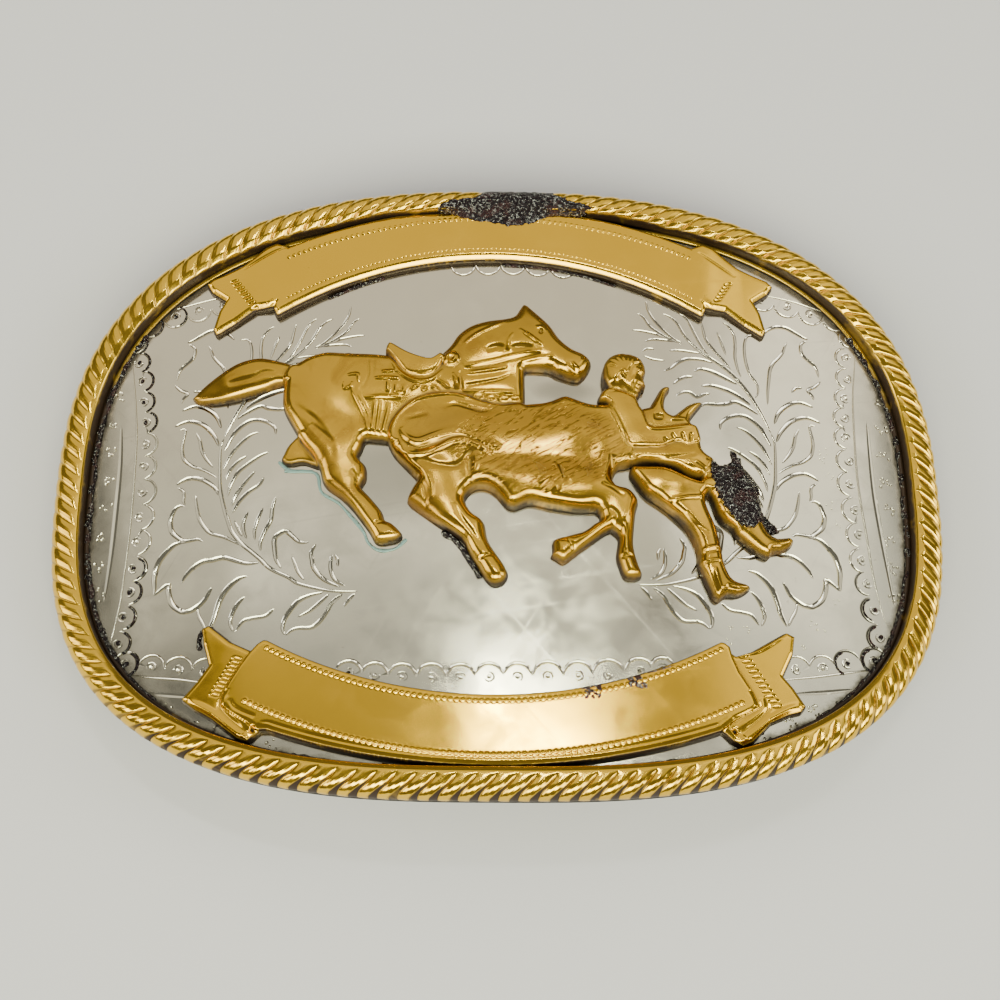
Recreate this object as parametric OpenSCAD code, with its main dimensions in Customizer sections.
// Western trophy belt buckle: a curved plate with a rope edge, two ribbons and a
// steer wrestling figure in relief on its face, and a belt loop and a prong behind it.
// It lies on its back: the face looks up (+Z), the top ribbon is towards +Y.
// All sizes are in millimetres.

/* [Plate] */
// Width over the rope edge, along X
buckle_w = 96; // [90:1:102]
// Height over the rope edge, along Y
buckle_h = 71.2; // [68:0.2:76]
// Exponent of the superellipse that the outline follows (2 is an ellipse)
oval_power = 2.69; // [2.4:0.01:3]
// Radius to which the plate's face is bent, about an axis along Y
bend_r = 190; // [170:5:220]
// Thickness of the plate
plate_t = 1.2; // [1:0.1:1.6]

/* [Rope edge] */
// Radius of the rope over its ridges
rope_r = 1.6; // [1.4:0.1:1.8]
// Height of the rope's middle above the plate's face
rope_lift = 0.8; // [0.6:0.1:1]
// Depth of the grooves between the ridges
rope_groove = 0.35; // [0.2:0.05:0.5]
// Number of ridges round the edge
rope_ridges = 136; // [112:4:144]
// Number of strands, which sets how steeply the ridges slant
rope_strands = 3; // [2:1:4]

/* [Ribbons] */
// Height of a ribbon's middle stretch above the plate
ribbon_top = 1.3; // [1:0.1:1.6]
// Height of a ribbon's tails above the plate
tail_top = 1; // [0.7:0.1:1.2]
// Half length of a ribbon's middle stretch
ribbon_half = 24.4; // [23:0.1:25]

/* [Figure] */
// Height of the upright edge round the figure
relief_edge = 0.7; // [0.5:0.1:0.9]
// Heights of the relief as a share of those in the tables
relief_share = 1; // [0.8:0.05:1.1]

/* [Belt fittings] */
// Width of the strap that the loop takes
strap_w = 38; // [34:1:40]
// Radius of the loop's wire
wire_r = 1.5; // [1.2:0.1:1.8]
// Distance from the hinge barrel to the loop's bar, along the loop
loop_reach = 13; // [11:0.5:14]
// Place of the hinge barrel along X
barrel_x = 24; // [22:1:26]
// Radius of the prong
prong_r = 2; // [1.6:0.1:2.4]
// Place of the prong along X, on the other side from the loop
prong_x = -26; // [-30:1:-22]
// Height of the plate's back above the surface that it lies on, at the middle
back_h = 9.8; // [9.2:0.2:11]

/* [Hidden] */

// Clearance between a piece and the plate that carries it
gap = 0.05;
// Number of sides that a full turn of the plate's bend is drawn with
bend_fn = 720;
crown_z = back_h + plate_t;

// Half sizes of the line that the middle of the rope follows, and of the plate's edge under it
rope_a = buckle_w / 2 - rope_r;
rope_b = buckle_h / 2 - rope_r;
plate_edge = rope_r * 0.75;

// A point of the superellipse with half sizes a and b, in the direction of the angle phi
function oval(a, b, phi) =
    let (reach = pow(pow(abs(cos(phi)) / a, oval_power) + pow(abs(sin(phi)) / b, oval_power),
                     -1 / oval_power))
    reach * [cos(phi), sin(phi)];

// The point that stands lift above the plate's face, over the place x, y of the face
function on_face(x, y, lift) =
    let (grow = (bend_r + lift) / bend_r)
    [x * grow, y, crown_z - bend_r + sqrt(bend_r * bend_r - x * x) * grow];

// Everything nearer to the axis of the bend than the surface that lies lift above the face
module below_surface(lift) {
    translate([0, 0, crown_z - bend_r])
        rotate([90, 0, 0])
            cylinder(r = bend_r + lift, h = 2 * buckle_h, center = true, $fn = bend_fn);
}

// The layer between two heights over the face, inside a flat outline
module layer(low, high) {
    intersection() {
        difference() {
            below_surface(high);
            below_surface(low);
        }
        linear_extrude(height = crown_z + 2 * rope_r)
            children();
    }
}

// Sets its children on the plate's face at x, y, square to the face
module stand_on_face(x, y) {
    translate(on_face(x, y, 0))
        rotate([0, asin(x / bend_r), 0])
            children();
}

module plate() {
    color("lightgray")
        layer(-plate_t, 0)
            polygon([for (phi = [0 : 3 : 357]) oval(rope_a + plate_edge, rope_b + plate_edge, phi)]);
}

// The rope: its section is a D that stands on the plate, and its rings are sheared along the
// edge as they go round, so that ridges and grooves slant like the strands of a rope.
rope_rings = 2 * rope_ridges;
// First angle of the round side, the angle that it spans and the steps that it is drawn in
rope_start = -asin(rope_lift / rope_r);
rope_span = 180 - 2 * rope_start;
rope_steps = 6;
// Rings that the slant passes from the foot on the outside to the foot on the inside
slant_rings = round(2 * rope_strands * rope_span / 360);

trace = [for (k = [0 : 720]) oval(rope_a, rope_b, k / 2)];
// Pairs of the length along the edge and the angle where it is reached
edge_run = [for (k = 0, run = 0; k <= 720; run = run + (k < 720 ? norm(trace[k + 1] - trace[k]) : 0),
                                 k = k + 1) [run, k / 2]];
edge_length = edge_run[720][0];

// A point of the rope: the number of its ring, and its step round the section
function rope_point(ring, step) =
    let (place = ring + step * slant_rings / rope_steps,
         length = edge_length * (place / rope_rings - floor(place / rope_rings)),
         phi = lookup(length, edge_run),
         middle = oval(rope_a, rope_b, phi),
         along = oval(rope_a, rope_b, phi + 0.2) - oval(rope_a, rope_b, phi - 0.2),
         outward = [along[1], -along[0]] / norm(along),
         angle = rope_start + rope_span * step / rope_steps,
         reach = ring % 2 == 0 ? rope_r : rope_r - rope_groove,
         foot = step == 0 || step == rope_steps,
         spot = middle + outward * reach * cos(angle))
    on_face(spot[0], spot[1], foot ? gap : rope_lift + reach * sin(angle));

module rope_edge() {
    sides = rope_steps + 1;
    rings = [for (ring = [0 : rope_rings - 1]) for (step = [0 : rope_steps]) rope_point(ring, step)];
    round_side = [for (ring = [0 : rope_rings - 1]) for (step = [0 : rope_steps - 1])
        let (next = (ring + 1) % rope_rings)
        [ring * sides + step, ring * sides + step + 1, next * sides + step + 1, next * sides + step]];
    foot_side = [for (ring = [0 : rope_rings - 1])
        let (next = (ring + 1) % rope_rings,
             across = (ring + slant_rings) % rope_rings,
             across_next = (ring + slant_rings + 1) % rope_rings)
        [ring * sides + rope_steps, across * sides, across_next * sides, next * sides + rope_steps]];
    color("gold")
        polyhedron(points = rings, faces = concat(round_side, foot_side), convexity = 10);
}

// Points of an arc that bows by its top at x = 0, from x = -half to x = half
function arc_points(half, top_y, radius, side) =
    [for (k = [-10 : 10])
        let (x = half * k / 10)
        [x, top_y + side * (sqrt(radius * radius - x * x) - radius)]];

// Radii that the ribbons' outer and inner long edges are bent to
top_outer_edge_r = 60;
top_inner_edge_r = 46;
bottom_outer_edge_r = 66;
bottom_inner_edge_r = 46.5;
// The inner edge stops short of the outer one by this much at each end
ribbon_slant = 0.6;
// Radius of the corners of a ribbon's middle stretch
band_corner_r = 0.6;

// The ribbons stay this far inside the line that the rope's middle follows
rope_clear = 1.75;

// A ribbon's middle stretch: outer_y and inner_y are where its long edges cross the middle,
// and side is 1 where it bows towards +Y
module ribbon_band(outer_y, inner_y, outer_r, inner_r, side) {
    inner_half = ribbon_half - ribbon_slant;
    offset(r = band_corner_r, $fn = 16)
        offset(delta = -band_corner_r)
            polygon(concat(arc_points(ribbon_half, outer_y, outer_r, side),
                           [for (p = arc_points(inner_half, inner_y, inner_r, side)) [-p[0], p[1]]]));
}

// A tail is a fold behind the band's end, then a swallowtail. Each is given as the right one.
top_tail = [[22.7, 28.9], [24, 29.5], [25.2, 29.1], [26.6, 27.9], [27.9, 26.9], [29.6, 26.1],
            [31.2, 25.5], [31.8, 24.9], [31.2, 23.9], [29.5, 22.6], [30.2, 21.2], [30.7, 19],
            [30.4, 18.4], [28.4, 19.6], [26.2, 21.2], [24.7, 21.3], [22, 21.8]];
bottom_right_tail = [[22, -20], [23.6, -19], [24.8, -19.8], [26.6, -19.2], [30.3, -16.9], [31.1, -17.3],
                     [30.8, -19.2], [29.6, -21.7], [30.6, -22.9], [31.8, -24.8], [31.3, -25.4],
                     [30, -25.8], [28.1, -26.7], [26.1, -28.8], [25.1, -29.3], [24.1, -28.8],
                     [23.3, -28], [21.5, -27]];
bottom_left_tail = [[22, -20], [23.6, -18.8], [25, -19.4], [27.2, -18.3], [29.5, -16.4], [30.2, -16.7],
                    [29.9, -18.4], [29.2, -20.8], [30.4, -22.6], [31.8, -24.3], [30.5, -25.3],
                    [28.7, -26.4], [27.2, -27.6], [25.9, -28.6], [24.8, -29], [24, -28.3],
                    [23.2, -27.7], [21.5, -27]];

// middle_x is the place of a ribbon's middle along X
module ribbon(middle_x, outer_y, inner_y, outer_r, inner_r, side, right_tail, left_tail) {
    color("gold") {
        layer(gap, ribbon_top)
            intersection() {
                translate([middle_x, 0])
                    ribbon_band(outer_y, inner_y, outer_r, inner_r, side);
                polygon([for (phi = [0 : 3 : 357]) oval(rope_a - rope_clear, rope_b - rope_clear, phi)]);
            }
        layer(gap, tail_top)
            translate([middle_x, 0]) {
                polygon(right_tail);
                mirror([1, 0])
                    polygon(left_tail);
            }
    }
}

module top_ribbon()
    ribbon(-1, 33.3, 26.7, top_outer_edge_r, top_inner_edge_r, 1, top_tail, top_tail);
module bottom_ribbon()
    ribbon(-0.4, -32, -24.65, bottom_outer_edge_r, bottom_inner_edge_r, -1, bottom_right_tail,
           bottom_left_tail);

// The figure is a single stamping: its outlines stand up from the plate as one flat layer, and
// chains of rounded pads swell out of that layer. An outline's points are places on the face.
tail_outline = [[-33.6, 10.6], [-32.3, 12], [-30.6, 13.4], [-28.7, 14.6], [-26.5, 15.1],
                [-24.5, 14.7], [-22.2, 13.8], [-21.5, 12.6], [-24.2, 11.5], [-25.5, 10.9],
                [-27.6, 10.3], [-29.8, 9.9], [-31.6, 9.8], [-33, 10]];
horse_outline = [
    // rump, back, neck and ear
    [-22.3, 13.9], [-20.8, 14.8], [-19, 15.3], [-17, 15.2], [-12.5, 14.8], [-11, 14.2], [-9, 13.7],
    [-7, 13.8], [-6.1, 14.9], [-5.3, 15.8], [-4.4, 17.2], [-3, 18.3], [-1.2, 18.9], [0.8, 19.2],
    [1.8, 19.6], [2.4, 20.6], [2.8, 21.1], [3.7, 20.4], [4.6, 19.5],
    // face, muzzle, throat and chest
    [5.7, 18.3], [6.7, 16.7], [8, 15.5], [9.4, 14.8], [10.1, 13.8], [9.7, 12.6], [8.7, 11.6],
    [7.7, 11.7], [6.4, 12.2], [5.3, 12.7], [3, 12.8], [2.8, 7], [-4, 6],
    // flank, hock and hoof
    [-11, 3.6], [-11.9, 4.1], [-14.3, 4.4], [-15, 2.4], [-14.3, 1.5], [-14.1, 0.5], [-14.6, -1.1],
    [-13.7, -2.2], [-12.4, -3.9], [-12, -5], [-10.9, -5.7], [-10.1, -6.8], [-10.6, -7.4],
    [-12.2, -7.7], [-12.9, -7.5], [-13.5, -6.4], [-14.4, -5.1], [-15.5, -3.6], [-16.8, -2.2],
    [-18.3, -1], [-19, 0.8], [-19.7, 2.5], [-21, 4.2], [-22.3, 6.4], [-23.3, 8.4], [-23.5, 10],
    [-23.4, 12]];
far_hind_outline = [[-21.5, 5.4], [-22.6, 4.2], [-23.1, 3.1], [-22.9, 2], [-20.9, 2], [-19.1, 1.4],
                    [-18.3, 2.5], [-19.5, 5]];
saddle_outline = [[-12.4, 15], [-12.1, 16], [-11.4, 15.9], [-9.8, 14.8], [-7.8, 14], [-6.4, 14.6],
                  [-5.9, 14.2], [-6.5, 12.6], [-8.2, 11.6], [-10.1, 12.2], [-11.5, 14]];
steer_outline = [
    // haunch and back, to the neck behind the rider
    [-11.8, 4.1], [-11.6, 5.7], [-10.8, 7.2], [-9.4, 8.6], [-7.8, 9.3], [-5.8, 9.6], [-3.9, 9.4],
    [-2, 8.6], [0.3, 8.1], [2.5, 8.4], [5, 8.7], [6.7, 9.4], [7.7, 9.4], [9.8, 8.7], [12.5, 8.4],
    [15.3, 6], [15, 2.5], [13.9, 1.4], [12.8, 1.1], [12.2, 0], [12.5, -0.9], [13.9, -1.3],
    // far front leg
    [14.8, -2.6], [14.5, -4.1], [14.2, -7], [14.3, -8.5], [15, -10.9], [14.8, -11.4], [13.3, -11.5],
    [12.6, -10], [12.4, -9.1], [12.6, -6.9], [12.1, -6.3], [11.5, -6.3],
    // near front leg, bent back
    [9.2, -8.1], [7.7, -9.3], [6.6, -9.9], [5.5, -9.2], [5.8, -7.4], [7.5, -6.8], [9, -6.3],
    [10.8, -4.9], [10.4, -4],
    // belly
    [8.2, -4], [5.4, -3.6], [3.5, -3.2], [1.7, -3.8], [0.9, -3.6], [-0.4, -2], [-1.2, -1.5],
    [-2.8, -1.7], [-3.5, -3.1], [-2.8, -4.3],
    // near hind leg
    [-1.5, -5.5], [-1.2, -7.1], [0, -9.3], [1, -11.3], [0.7, -12.1], [-0.8, -12.4], [-2, -10.6],
    [-3.9, -7.3], [-6.2, -5.7], [-9.4, -3.2], [-9.6, -2.6], [-8.6, -0.5], [-9.7, 0.9], [-11.2, 2.6]];
// The steer's head and horns with the rider's hip behind them
steer_head_outline = [
    [14, 7.4], [15.4, 8.3], [16.3, 8.6], [17.2, 10.1], [17.7, 11], [18.7, 11.2], [18.2, 10.2],
    [18, 8.9], [18.8, 7.7], [20.4, 9], [22, 9.6], [22.2, 9.4], [20.8, 7.4], [21.3, 6.2], [21.9, 3.7],
    [23, 2.7], [23.1, 2.2], [22.6, 0.9], [21, 0.3], [18.8, 1.3], [15.3, 1.8], [14.3, 1.5],
    [13.2, 2.5], [12.5, 5]];
near_leg_outline = [
    [14.2, 1.3], [17, 1.4], [18.6, 1], [20, 0.3], [21.4, -0.1], [23.6, 0], [24, -0.4], [22.7, -1.3],
    [22, -1.9], [22.2, -3.2], [23, -5.4], [23.5, -8], [23.7, -9.4], [24.3, -10.9], [25.9, -11.6],
    [26.4, -12], [25.7, -12.7], [23.9, -13], [22.9, -13.7], [22.3, -13.3], [21.6, -11.6],
    [20.9, -9.7], [21, -8.8], [20.6, -7], [19.6, -5.2], [17.4, -3.2], [15.5, -1.8], [14.3, -0.1]];
far_leg_outline = [
    [21.8, 1], [23, 1.8], [24.6, 1.9], [26, 1.5], [27, 0.3], [27.6, -1.2], [28.2, -4.3],
    [28.8, -5.7], [31, -5.9], [31.4, -6.2], [30.7, -7.3], [29, -7.9], [28.5, -8.5], [27.6, -8.2],
    [25.9, -6.8], [24.8, -5.4], [23.2, -3.8], [22.6, -1.9], [21.5, -0.5]];
torso_outline = [
    [10.7, 8.7], [11.1, 10.1], [12.8, 10.4], [14.7, 9.6], [15.3, 8.4], [16, 6], [16.5, 5.8],
    [20.6, 6.4], [21.6, 5.4], [21.7, 4.5], [20.1, 3.8], [19.5, 4.1], [17.2, 3.4], [14.1, 3.3],
    [13.2, 5.1], [12, 7.9]];

// The rider's head: its own plain profile in shares of its height, looking along +X
head_profile = [
    [0, 0.5], [0.17, 0.475], [0.3, 0.38], [0.37, 0.24], [0.36, 0.05], [0.455, -0.13],
    [0.385, -0.175], [0.395, -0.29], [0.375, -0.42], [0.3, -0.49], [0, -0.44], [-0.2, -0.45],
    [-0.36, -0.32], [-0.485, 0.12], [-0.4, 0.33], [-0.22, 0.46]];
head_middle = [13.75, 12.05];
head_size = 5.2;
head_lean = -14;

module figure_outline() {
    polygon(tail_outline);
    polygon(horse_outline);
    polygon(far_hind_outline);
    polygon(saddle_outline);
    polygon(steer_outline);
    polygon(steer_head_outline);
    polygon(near_leg_outline);
    polygon(far_leg_outline);
    polygon(torso_outline);
    translate(head_middle)
        rotate(head_lean)
            scale(head_size)
                polygon(head_profile);
}

// A pad's row holds its place on the face, its radius and its height over the face
PAD_X = 0;
PAD_Y = 1;
PAD_R = 2;
PAD_TOP = 3;

horse_forms = [
    // tail
    [[-31.4, 11.1, 0.9, 1.2], [-29.4, 11.9, 1.6, 1.4], [-27.3, 12.7, 2, 1.5], [-24.2, 13, 1.2, 1.3]],
    // rump and barrel
    [[-18.6, 10.3, 4.6, 1.9], [-15.2, 10.4, 4, 1.7], [-10, 10, 3.2, 1.5]],
    [[-10, 10, 3.2, 1.5], [-5, 11.3, 2.4, 1.5], [0.9, 10.6, 1.7, 1.4]],
    // neck, head and ear
    [[-3.4, 13.8, 2.2, 1.5], [-1.6, 15.1, 2.9, 1.6], [1.2, 16, 2.8, 1.7], [3.3, 16.2, 2.8, 1.8]],
    [[3.3, 16.2, 2.8, 1.8], [5, 15, 2.1, 1.9], [7.2, 13.7, 1.6, 1.8], [8.5, 13.1, 1.2, 1.6]],
    [[3, 18.4, 1, 1.6], [2.8, 20, 0.4, 1.2]],
    // near hind leg and hoof
    [[-19.4, 7.6, 3.5, 1.9], [-17.6, 3.2, 2.4, 1.8], [-16.8, 0.2, 1.7, 1.6], [-15.3, -2.6, 1.2, 1.5],
     [-13.1, -5.4, 0.9, 1.4]],
    [[-13.1, -5.4, 0.9, 1.4], [-12, -6.6, 0.9, 1.4]],
    // far hind leg
    [[-21.9, 3.2, 0.9, 1], [-20.2, 3.2, 1, 1]],
    // saddle, pommel and cinch
    [[-11.7, 15.2, 0.5, 1.6], [-11, 13.6, 0.7, 1.7], [-8.6, 12.9, 0.8, 1.8], [-6.5, 13.5, 0.7, 1.8]],
    [[-5.3, 13.7, 0.9, 1.9], [-5.1, 13.7, 0.9, 1.9]],
    [[-13.4, 12.4, 1.7, 1.8], [-13.4, 9, 1.6, 1.8], [-13.3, 5.9, 1.1, 1.6]]
];

steer_forms = [
    // haunch, barrel and shoulder
    [[-8.1, 5.1, 3.4, 2.1], [-4.6, 5, 4.1, 2.2], [-0.5, 4.3, 3.6, 2.2], [3.5, 4.3, 3.8, 2.2],
     [7.6, 5, 3.9, 2.2], [10.2, 5.4, 2.8, 2]],
    [[-1.6, 0.8, 2.1, 2.1], [2.5, -0.2, 2.9, 2.2], [6.5, -0.8, 2.9, 2.2], [9.8, -1.2, 2.6, 2.1]],
    [[11, 4.4, 2.5, 2], [11.1, 0.8, 1.5, 2], [11.2, -1.8, 1.8, 2], [12.8, -3.2, 1.4, 1.8]],
    // near hind leg
    [[-8.3, 3.4, 3, 2.1], [-6.9, 0.2, 2.5, 2], [-6.2, -2.6, 2.1, 1.9], [-4.4, -5.1, 1.5, 1.8],
     [-2.1, -8.5, 1.1, 1.6], [-0.5, -11.3, 1, 1.6]],
    [[-8.2, -2.1, 0.9, 1.7], [-7.9, -3, 0.9, 1.7]],
    // near front leg, bent back, and far front leg
    [[12.8, -4.1, 1.5, 1.9], [11.4, -5.6, 1, 1.7], [7.9, -7.8, 0.9, 1.6], [6.5, -8.8, 0.8, 1.6]],
    [[13.1, -3.9, 1.4, 1.8], [13.4, -6.4, 0.8, 1.6], [13.4, -9.4, 0.8, 1.5], [13.9, -10.7, 0.8, 1.5]],
    // head and horns
    [[15.9, 6.8, 1.3, 2], [18, 6.8, 1.2, 2.1], [19.9, 6.4, 0.9, 2]],
    [[17, 8.2, 0.6, 1.8], [17.6, 9.4, 0.4, 1.5], [18.1, 10.6, 0.25, 1.3]],
    [[19.9, 7.6, 0.6, 1.8], [20.6, 8.3, 0.4, 1.5], [21.4, 9, 0.25, 1.3]]
];

rider_forms = [
    // head, trunk, arm and hand
    [[13.6, 12.3, 2.2, 2.3], [13.9, 12, 2.1, 2.3]],
    [[12.9, 8.7, 1.6, 2.1], [13.6, 7.2, 1.6, 2.2], [14.9, 4.9, 1.4, 2.3]],
    [[15.2, 4.6, 1.2, 2.3], [17.8, 4.7, 1, 2.2], [20.4, 5.1, 1, 2.1]],
    // hip and legs
    [[14.8, 2.4, 0.9, 2], [18, 2.3, 1, 2.1], [20, 2.2, 1.4, 2.1], [21.7, 1.8, 1.2, 2.1]],
    [[15.2, 0.3, 0.9, 2.1], [17.2, -0.7, 1.6, 2.3], [19.6, -1, 1.6, 2.4], [22, -0.9, 0.8, 2.2]],
    [[18.9, -2.4, 1.3, 2.1], [20.1, -4.1, 1.5, 2.1], [21.4, -6.2, 1.4, 2.1], [22.2, -8.8, 1.2, 2]],
    [[22.2, -8.8, 1.2, 2], [22.6, -10.8, 1.2, 1.9], [22.9, -12.2, 1, 1.8]],
    [[22.9, -12.4, 0.9, 1.7], [25.4, -12.2, 0.5, 1.5]],
    [[22.8, 0.1, 1.5, 1.9], [24.6, -0.8, 2, 1.9], [25.6, -3.2, 1.9, 1.9], [26.8, -5.8, 1.4, 1.8]],
    [[26.8, -5.8, 1.4, 1.8], [28, -7.1, 1, 1.7], [30.2, -6.8, 0.6, 1.5]]
];

// A round pad, domed above the flat layer that it swells out of
module pad(row) {
    top = row[PAD_TOP] * relief_share;
    radius = row[PAD_R];
    sides = radius > 2.2 ? 16 : (radius > 0.9 ? 12 : 8);
    stand_on_face(row[PAD_X], row[PAD_Y])
        rotate_extrude($fn = sides)
            polygon([[0, relief_edge / 2], [radius, relief_edge / 2], [radius, relief_edge],
                     [radius * 0.72, relief_edge + (top - relief_edge) * 0.75],
                     [radius * 0.25, top], [0, top]]);
}

module steer_wrestling_figure() {
    color("goldenrod") {
        layer(gap, relief_edge)
            figure_outline();
        for (form = concat(horse_forms, steer_forms, rider_forms))
            for (k = [0 : len(form) - 2])
                hull() {
                    pad(form[k]);
                    pad(form[k + 1]);
                }
    }
}

// The belt loop: a wire loop that leans from a hinge barrel down to its bar, all in one piece
barrel_r = 2.6;
barrel_half = 11;
// The plate's back is this far above the barrel
barrel_drop = 0.4;
barrel_z = crown_z + sqrt(pow(bend_r - plate_t, 2) - barrel_x * barrel_x) - bend_r - barrel_r
           - barrel_drop;
bar_z = wire_r;
loop_lean = asin((barrel_z - bar_z) / loop_reach);
strap_play = 0.8;
loop_half = strap_w / 2 + strap_play + wire_r;
corner_r = 4;

module wire(length) {
    cylinder(r = wire_r, h = length, $fn = 48);
}

// Half of the loop, on the side of +Y, in its own plane with the barrel along Y at x = 0
module half_loop() {
    rotate([-90, 0, 0])
        wire(loop_half - corner_r);
    translate([corner_r, loop_half - corner_r, 0])
        rotate([0, 0, 90])
            bend_piece();
    translate([corner_r, loop_half, 0])
        rotate([0, 90, 0])
            wire(loop_reach - 2 * corner_r);
    translate([loop_reach - corner_r, loop_half - corner_r, 0])
        bend_piece();
    translate([loop_reach, 0, 0])
        rotate([-90, 0, 0])
            wire(loop_half - corner_r);
}

module bend_piece() {
    rotate_extrude(angle = 90, $fn = 96)
        translate([corner_r, 0])
            circle(r = wire_r, $fn = 48);
}

// Width of the foot that joins the barrel to the plate
saddle_w = 6;

module belt_loop() {
    color("silver") {
        translate([barrel_x, 0, barrel_z])
            rotate([0, loop_lean, 0]) {
                half_loop();
                mirror([0, 1, 0])
                    half_loop();
            }
        translate([barrel_x, 0, barrel_z])
            rotate([90, 0, 0])
                cylinder(r = barrel_r, h = 2 * barrel_half, center = true, $fn = 64);
        intersection() {
            translate([barrel_x - saddle_w / 2, -barrel_half, barrel_z])
                cube([saddle_w, 2 * barrel_half, back_h]);
            below_surface(-plate_t - gap);
        }
    }
}

// The prong: a post with a round tip on a round foot that meets the plate's back
foot_r = 4.5;
foot_z = back_h - 3;

module prong() {
    color("silver") {
        translate([prong_x, 0, prong_r])
            sphere(r = prong_r, $fn = 48);
        translate([prong_x, 0, prong_r])
            cylinder(r = prong_r, h = foot_z - prong_r, $fn = 48);
        intersection() {
            translate([prong_x, 0, foot_z])
                cylinder(r = foot_r, h = back_h, $fn = 64);
            below_surface(-plate_t - gap);
        }
    }
}

plate();
rope_edge();
top_ribbon();
bottom_ribbon();
steer_wrestling_figure();
belt_loop();
prong();
